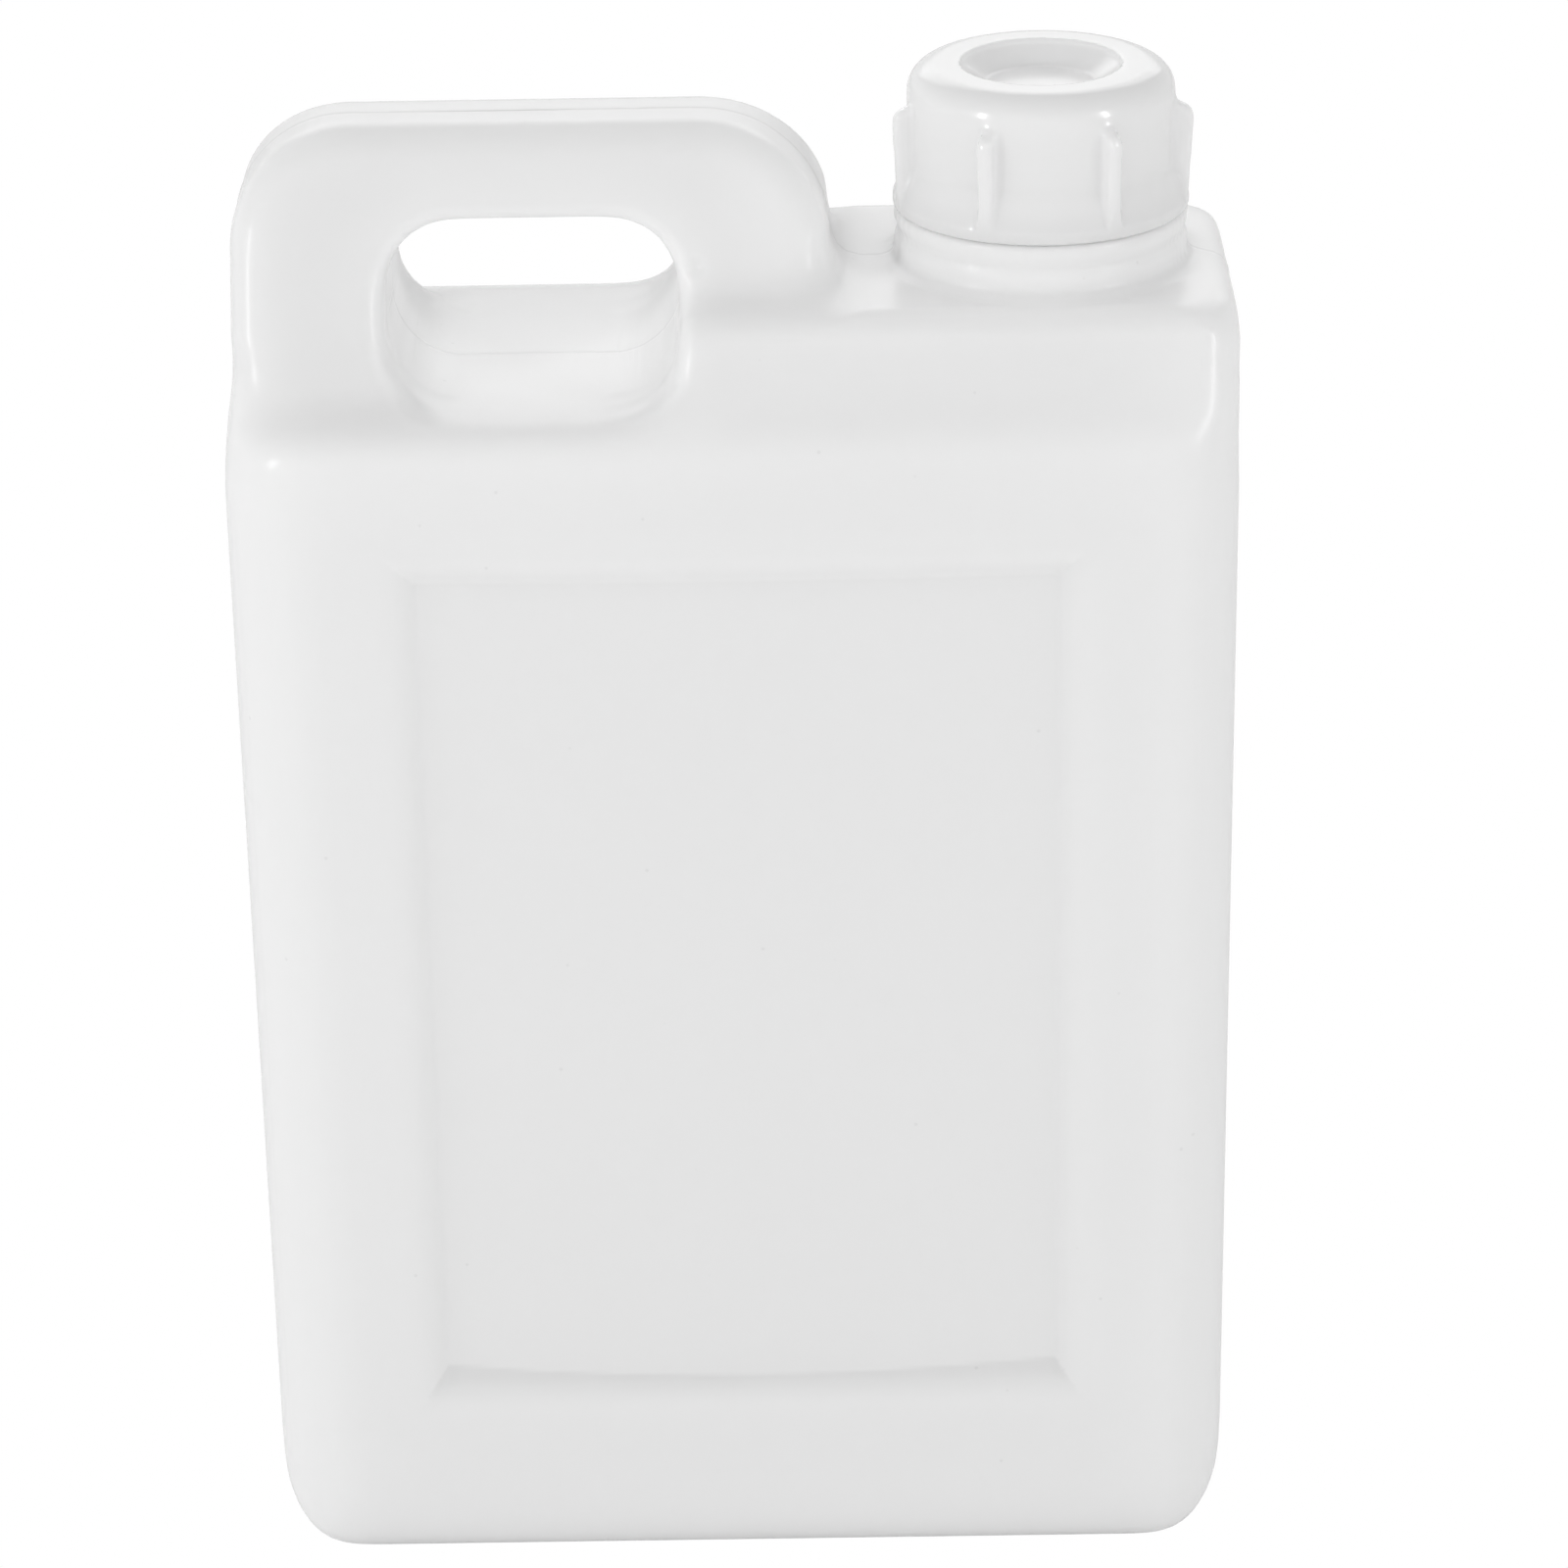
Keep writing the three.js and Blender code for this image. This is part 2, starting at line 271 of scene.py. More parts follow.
def sharp_points(piece, wanted, angle=math.radians(28), spacing=1.0 * MM):
    """Points along the sharp edges of a piece that a test wants."""
    mesh = bmesh.new()
    mesh.from_mesh(piece.data)
    points = []
    for edge in mesh.edges:
        if len(edge.link_faces) == 2 and edge.calc_face_angle(0) > angle and ends(edge, wanted):
            count = max(int(edge.calc_length() / spacing), 1)
            a, b = (v.co.copy() for v in edge.verts)
            points += [a.lerp(b, i / count) for i in range(count + 1)]
    mesh.free()
    return points


def displace(piece, weight_at, **settings):
    """Move the surface by a modifier, as far as a function of place says."""
    weigh(piece, "reach", weight_at)
    use_modifier(piece, "DISPLACE", mid_level=0, vertex_group="reach", **settings)
    piece.vertex_groups.remove(piece.vertex_groups["reach"])


def refine(piece, voxel):
    """Rebuild a piece from fine even faces and take the steps out of them."""
    use_modifier(piece, "REMESH", mode="VOXEL", voxel_size=voxel)
    use_modifier(piece, "SMOOTH", factor=0.5, iterations=5)


def soften(piece, points, reach, passes):
    """Smooth a band round some points: fully within half the reach, fading out at the reach."""
    tree = KDTree(len(points))
    for i, point in enumerate(points):
        tree.insert(point, i)
    tree.balance()
    weigh(piece, "soften", lambda co: 1 - smoothstep(reach / 2, reach, tree.find(co)[2]))
    use_modifier(piece, "SMOOTH", factor=0.5, iterations=passes, vertex_group="soften")
    piece.vertex_groups.remove(piece.vertex_groups["soften"])


# The bottle


def make_body():
    """Rounded box with its shoulder, and a recessed panel in the front and the back."""
    half = BODY_TOP_WIDTH / 2
    body = add_block("body", (-half, -BODY_DEPTH / 2, 0), (half, BODY_DEPTH / 2, SHOULDER_START))
    pick(body, "verts", lambda v: near(v.co.z, 0))
    bpy.ops.transform.resize(value=(BODY_BASE_WIDTH / BODY_TOP_WIDTH, 1, 1))
    bpy.ops.object.mode_set(mode="OBJECT")

    turns = [math.pi / 2 * i / SHOULDER_STEPS for i in range(1, SHOULDER_STEPS + 1)]
    raise_top(
        body,
        [SHOULDER_START + (LEDGE - SHOULDER_START) * math.sin(t) for t in turns],
        [half - (half - LEDGE_HALF_WIDTH) * (1 - math.cos(t)) for t in turns],
        [BODY_DEPTH / 2 - (BODY_DEPTH / 2 - LEDGE_HALF_DEPTH) * (1 - math.cos(t)) for t in turns],
    )
    upright = lambda e: not near(e.verts[0].co.z, e.verts[1].co.z)
    round_edges(body, upright, CORNER_RADIUS, CORNER_SEGMENTS)
    press_panels(body)
    join_or_cut(body, make_foot_form(), "INTERSECT")
    return body


def make_foot_form():
    """Tall box that lends the body its foot: round at the sides, tight along the front and the back."""
    half_width = BODY_BASE_WIDTH / 2 + FOOT_SLACK
    half_depth = BODY_DEPTH / 2 + FOOT_SLACK
    form = add_block("foot_form", (-half_width, -half_depth, 0), (half_width, half_depth, GRIP_TOP))
    pick(form, "verts", lambda v: near(v.co.z, GRIP_TOP))
    bpy.ops.transform.resize(value=(1.01, 1, 1))
    bpy.ops.object.mode_set(mode="OBJECT")
    on_base = lambda co: near(co.z, 0)
    round_edges(form, lambda e: ends(e, on_base) and along_depth(e), BASE_SIDE_RADIUS, 12)
    in_outline = lambda co: near(abs(co.y), half_depth) and co.z < GRIP_TOP - TINY
    round_edges(form, lambda e: ends(e, in_outline) and on_one_side(e), BASE_FRONT_RADIUS, 5)
    return form


def press_panels(body):
    """Cut the panel's rectangle into the front and back faces, inset it and push it in."""
    for place, normal in (
        ((PANEL_LEFT, 0, 0), (1, 0, 0)),
        ((PANEL_RIGHT, 0, 0), (1, 0, 0)),
        ((0, 0, PANEL_BOTTOM), (0, 0, 1)),
        ((0, 0, PANEL_TOP), (0, 0, 1)),
    ):
        pick(body, "faces", lambda f: abs(f.normal.y) > 0.999 and f.calc_area() > 1000 * MM * MM)
        bpy.ops.mesh.bisect(plane_co=place, plane_no=normal)
        bpy.ops.object.mode_set(mode="OBJECT")

    middle = (PANEL_LEFT + PANEL_RIGHT) / 2
    half_width = (PANEL_RIGHT - PANEL_LEFT) / 2
    for side in (-1, 1):
        def in_panel(f):
            c = f.calc_center_median()
            inside = PANEL_LEFT < c.x < PANEL_RIGHT and PANEL_BOTTOM < c.z < PANEL_TOP
            return inside and f.normal.y * side > 0.999

        for i in range(1, PANEL_COLUMNS):
            pick(body, "faces", in_panel)
            x = PANEL_LEFT + 2 * half_width * i / PANEL_COLUMNS
            bpy.ops.mesh.bisect(plane_co=(x, 0, 0), plane_no=(1, 0, 0))
            bpy.ops.object.mode_set(mode="OBJECT")
        pick(body, "faces", in_panel)
        for step in range(PANEL_STEPS):
            share = ((step + 1) ** PANEL_CURL - step ** PANEL_CURL) / PANEL_STEPS ** PANEL_CURL
            bpy.ops.mesh.inset(thickness=PANEL_WALL / PANEL_STEPS)
            bpy.ops.transform.translate(value=(0, -side * PANEL_DEPTH * share, 0))
        bpy.ops.object.mode_set(mode="OBJECT")

    def lift(co):
        """The panel's lower line rises towards its ends."""
        on_line = near(co.z, PANEL_BOTTOM + PANEL_WALL, 0.1 * MM) and abs(co.y) < BODY_DEPTH / 2 - TINY
        return ((co.x - middle) / half_width) ** 2 if on_line else 0

    displace(body, lift, direction="Z", strength=PANEL_CORNER_LIFT)


def make_block():
    """Shoulder block: steep sides that roll over to a crisp edge round the flat."""
    left = HOLE_RIGHT - 9 * MM
    foot = LEDGE - 2 * MM
    block = add_block("block", (left, -LEDGE_HALF_DEPTH, foot), (BLOCK_RIGHT, LEDGE_HALF_DEPTH, LEDGE))
    rise = FLAT - BLOCK_ROLL_START
    roll_in = BLOCK_ROLL_HALF_DEPTH - FLAT_HALF_DEPTH
    turns = [ROLL_ANGLE * i / ROLL_STEPS for i in range(ROLL_STEPS + 1)]
    raise_top(
        block,
        [BLOCK_ROLL_START + rise * math.sin(t) / math.sin(ROLL_ANGLE) for t in turns],
        [(BLOCK_RIGHT - left) / 2] * len(turns),
        [BLOCK_ROLL_HALF_DEPTH - roll_in * (1 - math.cos(t)) / (1 - math.cos(ROLL_ANGLE)) for t in turns],
    )
    at_right = lambda co: near(co.x, BLOCK_RIGHT)
    round_edges(block, lambda e: ends(e, at_right) and on_one_side(e), BLOCK_CORNER_RADIUS, 8)
    return block


def grip_half_depth(z):
    return GRIP_TOP_HALF_DEPTH + (GRIP_TOP - z) * WEDGE_SLOPE


def make_grip():
    """Grip: a wedge with large rounded top corners and rounded edges."""
    foot = LEDGE - 3 * MM
    foot_half_depth = grip_half_depth(foot)
    grip = add_block("grip", (GRIP_LEFT, -foot_half_depth, foot), (GRIP_RIGHT, foot_half_depth, GRIP_TOP))
    pick(grip, "verts", lambda v: near(v.co.z, GRIP_TOP))
    bpy.ops.transform.resize(value=(1, GRIP_TOP_HALF_DEPTH / foot_half_depth, 1))
    bpy.ops.object.mode_set(mode="OBJECT")
    for x, radius in ((GRIP_LEFT, GRIP_LEFT_CORNER), (GRIP_RIGHT, GRIP_RIGHT_CORNER)):
        at_corner = lambda co: near(co.z, GRIP_TOP) and near(co.x, x)
        round_edges(grip, lambda e: ends(e, at_corner), radius, 14)

    slanted = lambda co: near(abs(co.y), grip_half_depth(co.z), 0.2 * MM)
    above_foot = lambda e: max(v.co.z for v in e.verts) > foot + TINY
    on_face = lambda e: above_foot(e) and on_one_side(e) and ends(e, slanted)
    round_edges(grip, on_face, GRIP_EDGE_RADIUS, 6)
    return grip


def make_hole_cutter():
    """Block with rounded corners that cuts the finger hole, standing just under the ledge."""
    bottom = LEDGE - HOLE_SINK
    reach = 60 * MM
    cutter = add_block("hole", (HOLE_LEFT, -reach, bottom), (HOLE_RIGHT, reach, HOLE_TOP))
    for z, radius in ((HOLE_TOP, HOLE_TOP_CORNER), (bottom, HOLE_FOOT_CORNER)):
        at_height = lambda co: near(co.z, z)
        round_edges(cutter, lambda e: ends(e, at_height) and along_depth(e), radius, CORNER_SEGMENTS)
    return cutter


def make_neck():
    """Collar under the cap: a foot ring, a lower band, a plain band and a bead."""
    neck = add_round("neck", NECK_FOOT_RADIUS, FLAT - 3 * MM, NECK_FOOT_TOP, NECK_X, 96)
    radius = NECK_FOOT_RADIUS
    for next_radius, rise in (
        (NECK_LOWER_RADIUS, NECK_LOWER_RISE),
        (NECK_BAND_RADIUS, NECK_BAND_RISE),
        (NECK_BEAD_RADIUS, NECK_BEAD_RISE),
    ):
        top = max(v.co.z for v in neck.data.vertices)
        pick(neck, "faces", lambda f: near(f.calc_center_median().z, top) and f.normal.z > 0.9)
        bpy.ops.mesh.inset(thickness=max(radius - next_radius, TINY))
        if next_radius > radius:
            grown = next_radius / radius
            bpy.ops.transform.resize(value=(grown, grown, 1), center_override=(NECK_X, 0, 0))
        bpy.ops.mesh.extrude_region_move(TRANSFORM_OT_translate={"value": (0, 0, rise)})
        bpy.ops.object.mode_set(mode="OBJECT")
        radius = next_radius
    return neck


def belly_at(co, side):
    """How far the front or back face swells at a place, as a share of the whole."""
    if co.y * side < BODY_DEPTH / 2 - 6 * MM:
        return 0
    across = max(1 - (co.x / BELLY_HALF_WIDTH) ** 2, 0)
    return across * (smoothstep(*BELLY_STARTS, co.z) - smoothstep(*BELLY_ENDS, co.z))


def from_neck(co):
    return math.hypot(co.x - NECK_X, co.y)


def on_rim(co):
    """On the lips of the grip, its hole and its feet, and on the block's left part."""
    above_ledge = co.z > LEDGE - 0.5 * MM and abs(co.y) < 33.5 * MM
    beside_flat = near(co.z, FLAT, 0.3 * MM) and co.x > GRIP_RIGHT + 1 * MM
    return above_ledge and co.x < 23 * MM and from_neck(co) > 25 * MM and not beside_flat


def on_block_end(co):
    return co.x > 64 * MM and co.z > FLAT - 1 * MM and from_neck(co) > 24 * MM


def on_right_foot(co):
    return near(co.z, FLAT, 1 * MM) and near(co.x, GRIP_RIGHT, 2 * MM)


def on_shoulder(co):
    return LEDGE - 4 * MM < co.z < LEDGE + TINY and abs(co.x) > 62 * MM and abs(co.y) > 22 * MM


def on_foot_corner(co):
    return co.z < 18 * MM and abs(co.x) > 60 * MM


def on_panel_rim(co):
    return near(abs(co.y), BODY_DEPTH / 2) and 20 * MM < co.z < 180 * MM and abs(co.x) < 58 * MM


def grip_left_edges():
    heights = [z * MM for z in range(192, 212)]
    return [Vector((GRIP_LEFT, side * grip_half_depth(z), z)) for z in heights for side in (-1, 1)]


def make_bottle():
    """Join the forms, round them as blow moulding does, and add the belly, the dimple and the seam."""
    bottle = make_grip()
    join_or_cut(bottle, make_block(), "UNION")
    join_or_cut(bottle, make_hole_cutter(), "DIFFERENCE")
    join_or_cut(bottle, make_body(), "UNION")
    join_or_cut(bottle, make_neck(), "UNION")
    bottle.name = bottle.data.name = "bottle_shell"

    slight = math.radians(12)
    # Edges to round, how far from them, and how often they are smoothed
    softened = [
        (sharp_points(bottle, on_rim), 9 * MM, 120),
        (sharp_points(bottle, on_block_end), 7 * MM, 110),
        (sharp_points(bottle, on_right_foot), 9 * MM, 180),
        (grip_left_edges(), 7 * MM, 70),
        (sharp_points(bottle, on_panel_rim, math.radians(5)), 2.6 * MM, 50),
        (sharp_points(bottle, on_shoulder, slight), 11 * MM, 200),
        (sharp_points(bottle, on_foot_corner, slight), 8 * MM, 90),
    ]
    refine(bottle, VOXEL)
    for points, reach, passes in softened:
        soften(bottle, points, reach, passes)
    press_dimple(bottle)
    for side in (-1, 1):
        displace(bottle, lambda co: belly_at(co, side), direction="Y", strength=side * BELLY)
    use_modifier(bottle, "DECIMATE", ratio=0.3)
    raise_seam(bottle)
    # Painted light and shade, stored on the points
    mark_painted_light(bottle, bottle_painted_light)
    return bottle


def panel_wall_painted_light(co):
    """Painted light, positive, on the panel's upper wall, and painted shade, negative, on its lower wall."""
    if abs(co.y) < BODY_DEPTH / 2 - 3 * MM:
        return 0
    middle = (PANEL_LEFT + PANEL_RIGHT) / 2
    lift = PANEL_CORNER_LIFT * (2 * (co.x - middle) / (PANEL_RIGHT - PANEL_LEFT)) ** 2
    above_rim = (co.z - PANEL_BOTTOM) / (PANEL_WALL + lift)
    below_rim = (PANEL_TOP - co.z) / PANEL_WALL
    beside_rim = min(co.x - PANEL_LEFT, PANEL_RIGHT - co.x) / PANEL_WALL
    lower = smoothstep(-0.3, 0.9, above_rim) * (1 - smoothstep(0.98, 1.1, above_rim))
    upper = smoothstep(-0.3, 0.6, below_rim) * (1 - smoothstep(0.95, 1.1, below_rim))
    return 0.4 * upper * (beside_rim > below_rim) - 0.7 * lower * (beside_rim > above_rim)


def hole_painted_light(co):
    """Painted light inside the finger hole and on its lips: how far a place is there."""
    corner = HOLE_TOP_CORNER
    aside = max(HOLE_LEFT + corner - co.x, co.x - HOLE_RIGHT + corner, 0)
    above = max(LEDGE + corner - co.z, co.z - HOLE_TOP + corner, 0)
    outside = math.hypot(aside, above) - corner
    return (1 - smoothstep(0, 3 * MM, outside)) * smoothstep(0, 5 * MM, LEDGE_HALF_DEPTH - abs(co.y))


def flat_painted_light(co):
    """Painted light on the collar and on the flat round it: how far a place is there."""
    around = 1 - smoothstep(24 * MM, 34 * MM, from_neck(co))
    on_flat = smoothstep(FLAT - 2 * MM, FLAT, co.z)
    on_collar = smoothstep(FLAT - 0.3 * MM, FLAT + 1 * MM, co.z)
    return around * (0.4 * on_collar + 0.6 * on_flat)


def grip_painted_shade(co):
    """Painted shade on the grip's outside: how far a place is there, out of the finger hole."""
    above_ledge = smoothstep(LEDGE, LEDGE + 8 * MM, co.z)
    beside_block = smoothstep(-8 * MM, 8 * MM, co.x)
    return above_ledge * (1 - beside_block) * (1 - hole_painted_light(co))


def bottle_painted_light(co):
    """Painted light at a place on the bottle; negative is painted shade."""
    return panel_wall_painted_light(co) + hole_painted_light(co) + flat_painted_light(co) - 0.5 * grip_painted_shade(co)


def mark_painted_light(piece, share_at):
    """Store the painted light at each point, which makes the colour lighter. Negative is painted shade,
    darker.
    """
    painted_light = piece.data.attributes.new("painted_light", "FLOAT", "POINT")
    for i, v in enumerate(piece.data.vertices):
        painted_light.data[i].value = share_at(v.co)


def press_dimple(bottle):
    """Small round dent in the front of the grip's right leg, left by the mould."""
    from_middle = lambda co: (co - DIMPLE_PLACE).length
    displace(bottle, lambda co: 1 - smoothstep(0, DIMPLE_RADIUS, from_middle(co)), strength=-DIMPLE_DEPTH)


def raise_seam(bottle):
    """The mould's parting line: a fine ridge all round at the middle of the depth."""
    for y in SEAM_LINES:
        pick(bottle, "faces", lambda f: abs(f.calc_center_median().y) < 6 * MM)
        bpy.ops.mesh.bisect(plane_co=(0, y, 0), plane_no=(0, 1, 0))
        bpy.ops.object.mode_set(mode="OBJECT")
    pick(bottle, "verts", lambda v: abs(v.co.y) < 0.001 * MM and v.co.z > 1 * MM)
    bpy.ops.transform.shrink_fatten(value=SEAM_HEIGHT)
    bpy.ops.object.mode_set(mode="OBJECT")


# The cap


def make_wing():
    """One wing: an upright plate with a rounded top corner, first made on the +X side."""
    foot = CAP_BOTTOM + 1 * MM
    root = CAP_RADIUS - 3 * MM
    half = WING_THICKNESS / 2
    wing = add_block("wing", (root, -half, foot), (WING_RADIUS, half, WING_TOP))
    pick(wing, "verts", lambda v: near(v.co.x, WING_RADIUS) and v.co.z < WING_TOP - TINY)
    bpy.ops.transform.translate(value=(RING_RADIUS - WING_RADIUS, 0, 0))
    bpy.ops.object.mode_set(mode="OBJECT")
    at_corner = lambda co: near(co.x, WING_RADIUS) and near(co.z, WING_TOP)
    round_edges(wing, lambda e: ends(e, at_corner), WING_CORNER_RADIUS, 5)
    return wing


def from_axis(co):
    return math.hypot(co.x, co.y)


def cap_painted_light(co):
    """Painted light in the recess, painted shade on the top face and on the wings' outer edges."""
    recess = 1 - smoothstep(RECESS_RADIUS - 0.5 * MM, RECESS_RADIUS + 0.3 * MM, from_axis(co))
    top = smoothstep(CAP_TOP - 5 * MM, CAP_TOP, co.z)
    crest = smoothstep(CAP_RADIUS + 0.6 * MM, CAP_RADIUS + 2 * MM, from_axis(co))
    return 0.8 * recess - 0.6 * top * (1 - recess) - 0.5 * crest


def turn_cap():
    """The turned part of the cap: foot ring, flare, wall, rounded top edge and recess."""
    cap = add_round("cap_shell", RING_RADIUS, CAP_BOTTOM, CAP_BOTTOM + RING_SLOPE, 0, 128)
    # Each step's inset, its rise, and whether the face is extruded or only moved
    for inset, rise, extruded in (
        (RING_RADIUS - CAP_RADIUS, RING_HEIGHT - RING_SLOPE, False),
        (0, CAP_TOP - CAP_BOTTOM - RING_HEIGHT, True),
        (CAP_RADIUS - RECESS_RADIUS, -RECESS_LIP, True),
        (RECESS_RADIUS - RECESS_FLOOR_RADIUS, RECESS_LIP - RECESS_DEPTH, False),
    ):
        pick(cap, "faces", lambda f: f.normal.z > 0.9 and len(f.verts) > 8)
        if inset:
            bpy.ops.mesh.inset(thickness=inset)
        if extruded:
            bpy.ops.mesh.extrude_region_move(TRANSFORM_OT_translate={"value": (0, 0, rise)})
        else:
            bpy.ops.transform.translate(value=(0, 0, rise))
        bpy.ops.object.mode_set(mode="OBJECT")
    on_top_edge = lambda co: near(co.z, CAP_TOP) and near(from_axis(co), CAP_RADIUS, 0.1 * MM)
    round_edges(cap, lambda e: ends(e, on_top_edge), CAP_EDGE_RADIUS, 10)
    return cap


def on_wing_edge(co):
    in_height = CAP_BOTTOM + 3 * MM < co.z < WING_TOP + 1 * MM
    return in_height and from_axis(co) > CAP_RADIUS - 0.6 * MM


def make_cap():
    """Turn the cap on its own axis, join the wings to it, soften them and move it over the neck."""
    cap = turn_cap()
    wing = make_wing()
    for i in range(WING_COUNT):
        copy = wing.copy()
        copy.data = wing.data.copy()
        bpy.context.collection.objects.link(copy)
        turn = math.radians(-90 + WING_TURN + 360 / WING_COUNT * (i + 0.5))
        copy.data.transform(Matrix.Rotation(turn, 4, "Z"))
        join_or_cut(cap, copy, "UNION")
    bpy.data.objects.remove(wing)
    wing_edges = sharp_points(cap, on_wing_edge, math.radians(20), 0.5 * MM)
    refine(cap, CAP_VOXEL)
    soften(cap, wing_edges, 5 * MM, 60)
    use_modifier(cap, "DECIMATE", ratio=0.6)
    # Painted light and shade, stored on the points
    mark_painted_light(cap, cap_painted_light)
    cap.data.transform(Matrix.Translation((NECK_X, 0, 0)))
    return cap


# Finishes


def tone_where(material, colour, value, full, none, tone, clamp=True):
    """Scale a colour where a value is at its full end, fading out to the other end."""
    nodes, links = material.node_tree.nodes, material.node_tree.links
    share = nodes.new("ShaderNodeMapRange")
    share.inputs["From Min"].default_value = full
    share.inputs["From Max"].default_value = none
    share.inputs["To Min"].default_value = tone
    share.inputs["To Max"].default_value = 1
    share.clamp = clamp
    links.new(value, share.inputs["Value"])
    scaled = nodes.new("ShaderNodeVectorMath")
    scaled.operation = "SCALE"
    links.new(colour, scaled.inputs[0])
    links.new(share.outputs["Result"], scaled.inputs["Scale"])
    return scaled.outputs["Vector"]


def bottle_tones(material, place, colour):
    """Darken the parting line, and paint shade very slightly on the lower part, darker towards the bottom.
    """
    nodes, links = material.node_tree.nodes, material.node_tree.links
    axes = nodes.new("ShaderNodeSeparateXYZ")
    links.new(place.outputs["Object"], axes.inputs["Vector"])
    from_middle = nodes.new("ShaderNodeMath")
    from_middle.operation = "ABSOLUTE"
    links.new(axes.outputs["Y"], from_middle.inputs[0])
    lined = tone_where(material, colour, from_middle.outputs["Value"], SEAM_HALF_WIDTH, SEAM_FADE, SEAM_TONE)
    # Painted shade: the lower part is slightly darker towards the bottom
    return tone_where(material, lined, axes.outputs["Z"], 0, FOOT_SHADE_TOP, FOOT_SHADE)


def add_grain(material, place, strength):
    """Faint grain of the skin."""
    nodes, links = material.node_tree.nodes, material.node_tree.links
    pores = nodes.new("ShaderNodeTexNoise")
    pores.inputs["Scale"].default_value = 900
    pores.inputs["Detail"].default_value = 2
    bump = nodes.new("ShaderNodeBump")
    bump.inputs["Strength"].default_value = strength
    bump.inputs["Distance"].default_value = 0.05 * MM
    links.new(place.outputs["Object"], pores.inputs["Vector"])
    links.new(pores.outputs["Fac"], bump.inputs["Height"])
    links.new(bump.outputs["Normal"], nodes["Principled BSDF"].inputs["Normal"])


def milky_plastic(name, roughness, gloss, grain, spread, blown=False):
    """Milky plastic: light scatters inside it, and its skin is slightly cloudy, dusty and grainy."""
    material = bpy.data.materials.new(name)
    material.use_nodes = True
    nodes, links = material.node_tree.nodes, material.node_tree.links
    skin = nodes["Principled BSDF"]
    skin.inputs["Roughness"].default_value = roughness
    skin.inputs["IOR"].default_value = 1.5
    skin.inputs["Specular IOR Level"].default_value = gloss
    skin.inputs["Subsurface Weight"].default_value = 1
    skin.inputs["Subsurface Radius"].default_value = (1.0, 1.0, 1.0)

    place = nodes.new("ShaderNodeTexCoord")
    clouds = nodes.new("ShaderNodeTexNoise")
    clouds.inputs["Scale"].default_value = 18
    clouds.inputs["Detail"].default_value = 3
    tones = nodes.new("ShaderNodeValToRGB")
    tones.color_ramp.elements[0].color = (*[c * 0.985 for c in PLASTIC_GREY], 1)
    tones.color_ramp.elements[1].color = (*PLASTIC_GREY, 1)
    links.new(place.outputs["Object"], clouds.inputs["Vector"])
    links.new(clouds.outputs["Fac"], tones.inputs["Fac"])
    specks = nodes.new("ShaderNodeTexVoronoi")
    specks.inputs["Scale"].default_value = 110
    links.new(place.outputs["Object"], specks.inputs["Vector"])
    dusted = tone_where(material, tones.outputs["Color"], specks.outputs["Distance"], 0.02, 0.04, SPECK_TONE)

    # Painted light and shade from the point attribute: lighter where it is positive, darker where negative,
    # and light spreads less far where it is high
    painted_light = nodes.new("ShaderNodeAttribute")
    painted_light.attribute_name = "painted_light"
    colour = tone_where(material, dusted, painted_light.outputs["Fac"], 1, 0, PAINTED_LIGHT_GAIN, clamp=False)
    if blown:
        colour = bottle_tones(material, place, colour)
    links.new(colour, skin.inputs["Base Color"])
    depth = nodes.new("ShaderNodeMapRange")
    depth.inputs["From Min"].default_value = 0.3
    depth.inputs["From Max"].default_value = 0.9
    depth.inputs["To Min"].default_value = spread
    depth.inputs["To Max"].default_value = SPREAD_WHERE_LIGHT_PAINTED
    links.new(painted_light.outputs["Fac"], depth.inputs["Value"])
    links.new(depth.outputs["Result"], skin.inputs["Subsurface Scale"])
    add_grain(material, place, grain)
    return material


def finish_piece(piece, material, node):
    """Merge doubles, face outwards, give the material, hang the piece under the root and hide the model part
    it stands for.
    """
    take(piece)
    bpy.ops.object.mode_set(mode="EDIT")
    bpy.ops.mesh.select_all(action="SELECT")
    bpy.ops.mesh.remove_doubles(threshold=0.001 * MM)
    bpy.ops.mesh.normals_make_consistent(inside=False)
    bpy.ops.object.mode_set(mode="OBJECT")
    bpy.ops.object.shade_smooth()
    piece.data.materials.clear()
    piece.data.materials.append(material)
    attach(piece, "root")
    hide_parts(node)


# Camera, floor and light


def make_camera():
    """The photo's camera, solved from the bottle's edges."""
    picture_width = 1600
    sensor_width = 36
    focal_pixels = 5810.84
    place = Vector((10.77, -824.23, 479.60)) * MM
    pitch, yaw, roll = (math.radians(a) for a in (23.73, -0.27, -0.96))
    forward = Vector((math.sin(yaw) * math.cos(pitch), math.cos(yaw) * math.cos(pitch), -math.sin(pitch)))
    level_right = Vector((math.cos(yaw), -math.sin(yaw), 0))
    level_up = level_right.cross(forward)
    right = level_right * math.cos(roll) + level_up * math.sin(roll)
    up = level_up * math.cos(roll) - level_right * math.sin(roll)
    camera = bpy.data.objects.new("camera", bpy.data.cameras.new("camera"))
    camera.data.sensor_width = sensor_width
    camera.data.lens = focal_pixels * sensor_width / picture_width
    camera.data.clip_start = 0.01
    turn = Matrix((right, up, -forward)).transposed().to_4x4()
    camera.matrix_world = Matrix.Translation(place) @ turn
    bpy.context.scene.collection.objects.link(camera)
    bpy.context.scene.camera = camera


def make_softbox(name, direction, distance, width, height, power):
    """Rectangular light that points at the bottle's middle."""
    light = bpy.data.lights.new(name, "AREA")
    light.shape = "RECTANGLE"
    light.size = width
    light.size_y = height
    light.energy = power
    lamp = bpy.data.objects.new(name, light)
    aim = Vector((0, 0, 0.12))
    lamp.location = aim + Vector(direction).normalized() * distance
    lamp.rotation_euler = (aim - lamp.location).to_track_quat("-Z", "Y").to_euler()
    bpy.context.scene.collection.objects.link(lamp)


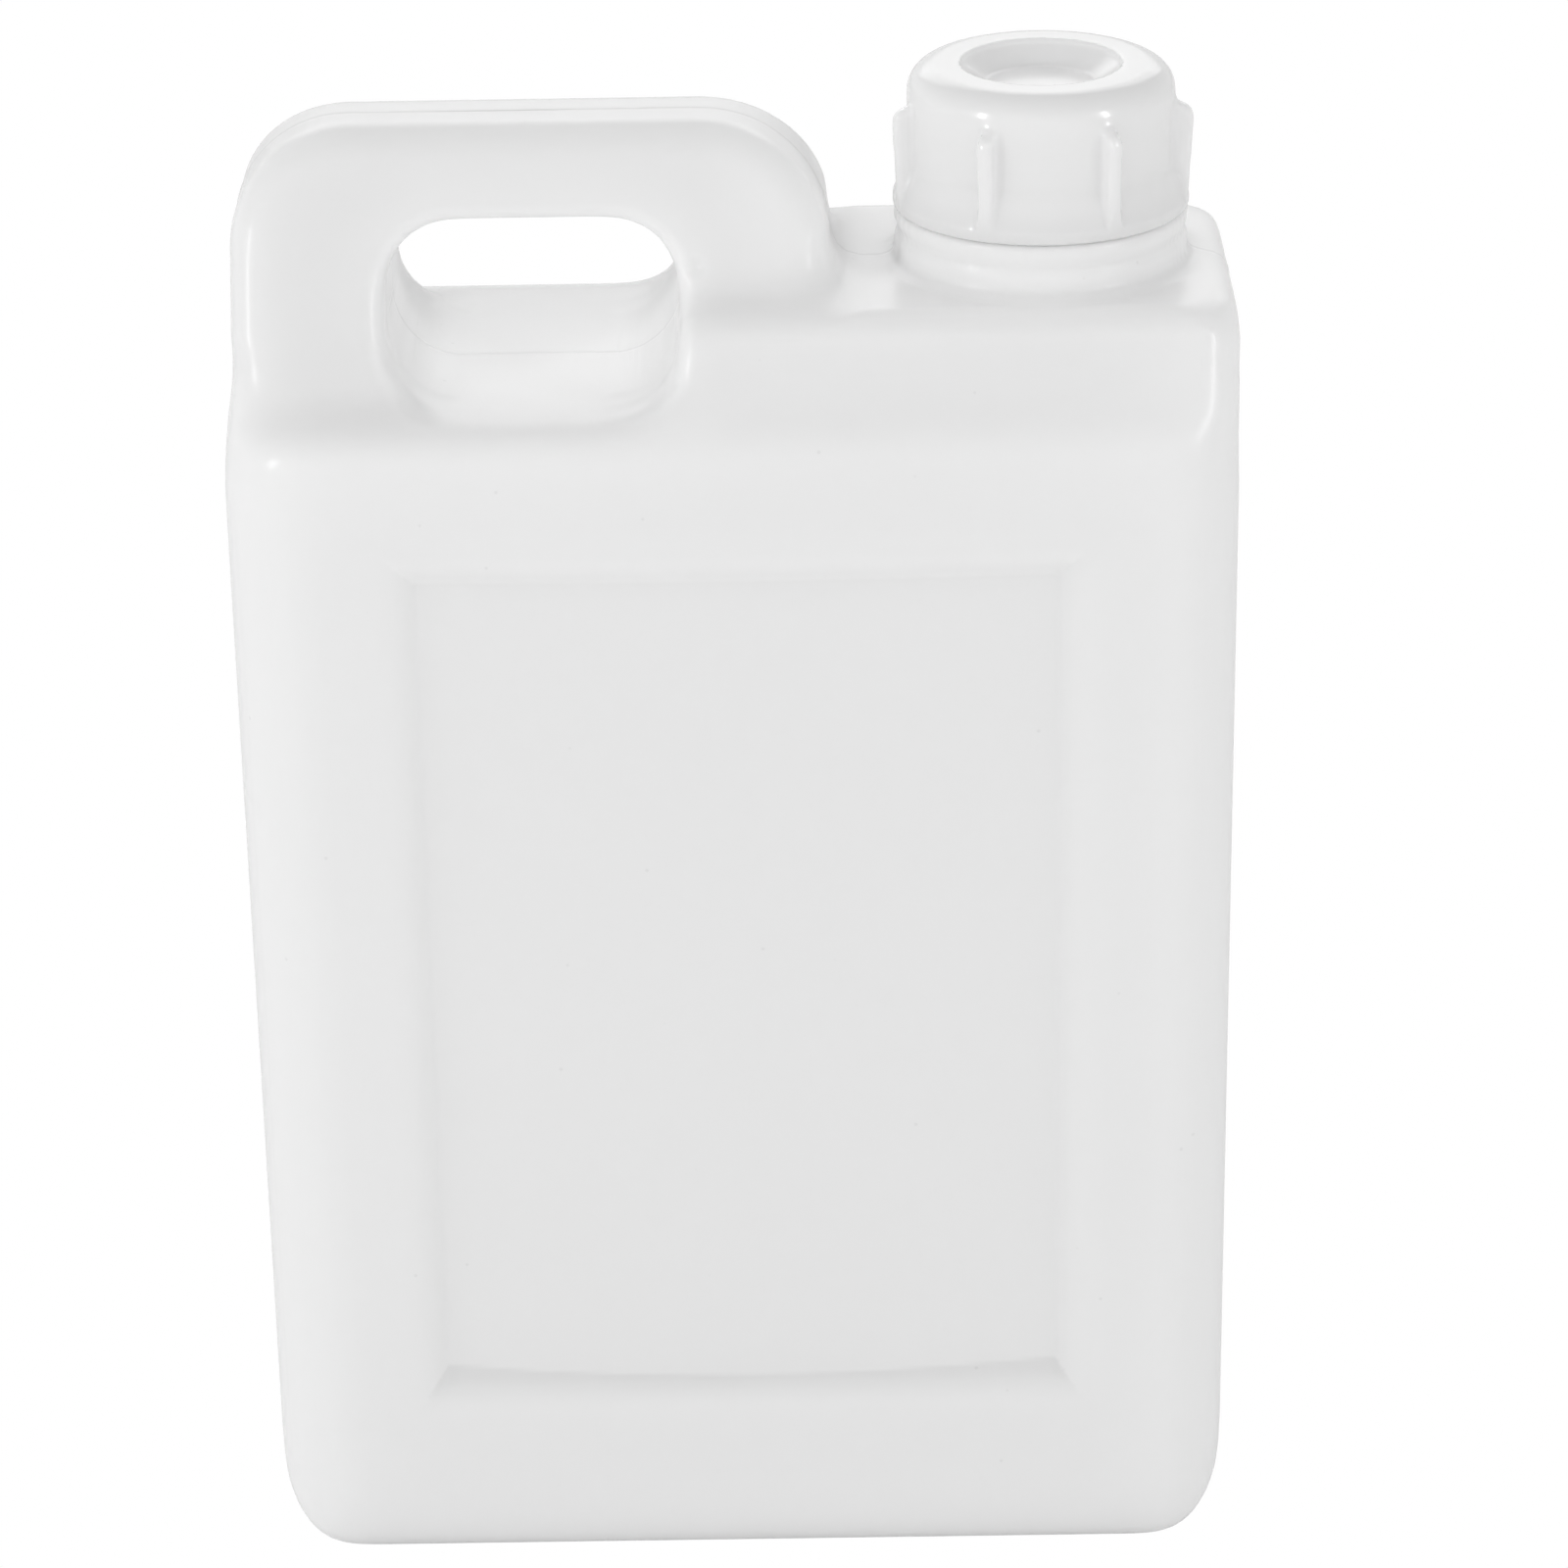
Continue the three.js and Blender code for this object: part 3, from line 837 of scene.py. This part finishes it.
def make_floor():
    """Plain pale floor that shows as white, and lights the bottle only by what it reflects."""
    leave_and_deselect()
    bpy.ops.mesh.primitive_plane_add(size=8, location=(0, 0, 0))
    floor = bpy.context.object
    floor.name = "floor"
    paint = bpy.data.materials.new("floor_paint")
    paint.use_nodes = True
    nodes, links = paint.node_tree.nodes, paint.node_tree.links
    matt = nodes["Principled BSDF"]
    matt.inputs["Base Color"].default_value = (0.93, 0.93, 0.93, 1)
    matt.inputs["Roughness"].default_value = 0.9
    glow = nodes.new("ShaderNodeEmission")
    seen = nodes.new("ShaderNodeLightPath")
    either = nodes.new("ShaderNodeMixShader")
    links.new(seen.outputs["Is Camera Ray"], either.inputs["Fac"])
    links.new(matt.outputs["BSDF"], either.inputs[1])
    links.new(glow.outputs["Emission"], either.inputs[2])
    links.new(either.outputs["Shader"], nodes["Material Output"].inputs["Surface"])
    floor.data.materials.append(paint)


def make_sky():
    """Soft light from all round, dimmer overhead and towards the right."""
    world = bpy.data.worlds.new("studio")
    bpy.context.scene.world = world
    world.use_nodes = True
    nodes, links = world.node_tree.nodes, world.node_tree.links
    background = nodes["Background"]
    place = nodes.new("ShaderNodeTexCoord")
    axes = nodes.new("ShaderNodeSeparateXYZ")
    links.new(place.outputs["Generated"], axes.inputs["Vector"])
    ramp = nodes.new("ShaderNodeValToRGB")
    ramp.color_ramp.elements[0].position = 0.3
    ramp.color_ramp.elements[0].color = (1, 1, 1, 1)
    ramp.color_ramp.elements[1].position = 0.9
    ramp.color_ramp.elements[1].color = (0.5, 0.5, 0.5, 1)
    links.new(axes.outputs["Z"], ramp.inputs["Fac"])
    links.new(ramp.outputs["Color"], background.inputs["Color"])
    shade = nodes.new("ShaderNodeMapRange")
    shade.inputs["To Min"].default_value = 0.96
    shade.inputs["To Max"].default_value = 0.64
    links.new(axes.outputs["X"], shade.inputs["Value"])
    links.new(shade.outputs["Result"], background.inputs["Strength"])


def make_studio():
    make_floor()
    make_softbox("softbox_left", (-0.75, -0.57, 0.33), 1.4, 0.085, 0.36, 2.8)
    make_softbox("softbox_right", (0.77, -0.53, 0.34), 1.4, 0.085, 0.36, 2.4)
    make_softbox("softbox_back", (0, 0.85, 0.53), 1.8, 1.6, 0.9, 5)
    make_sky()
    bpy.context.scene.view_settings.view_transform = "Standard"


make_camera()
make_studio()
bottle_plastic = milky_plastic(
    "milky_bottle", roughness=0.26, gloss=0.3, grain=0.12, spread=BOTTLE_SPREAD, blown=True)
cap_plastic = milky_plastic(
    "milky_cap", roughness=0.17, gloss=0.5, grain=0.05, spread=CAP_SPREAD)
finish_piece(make_bottle(), bottle_plastic, "bottle")
finish_piece(make_cap(), cap_plastic, "cap")
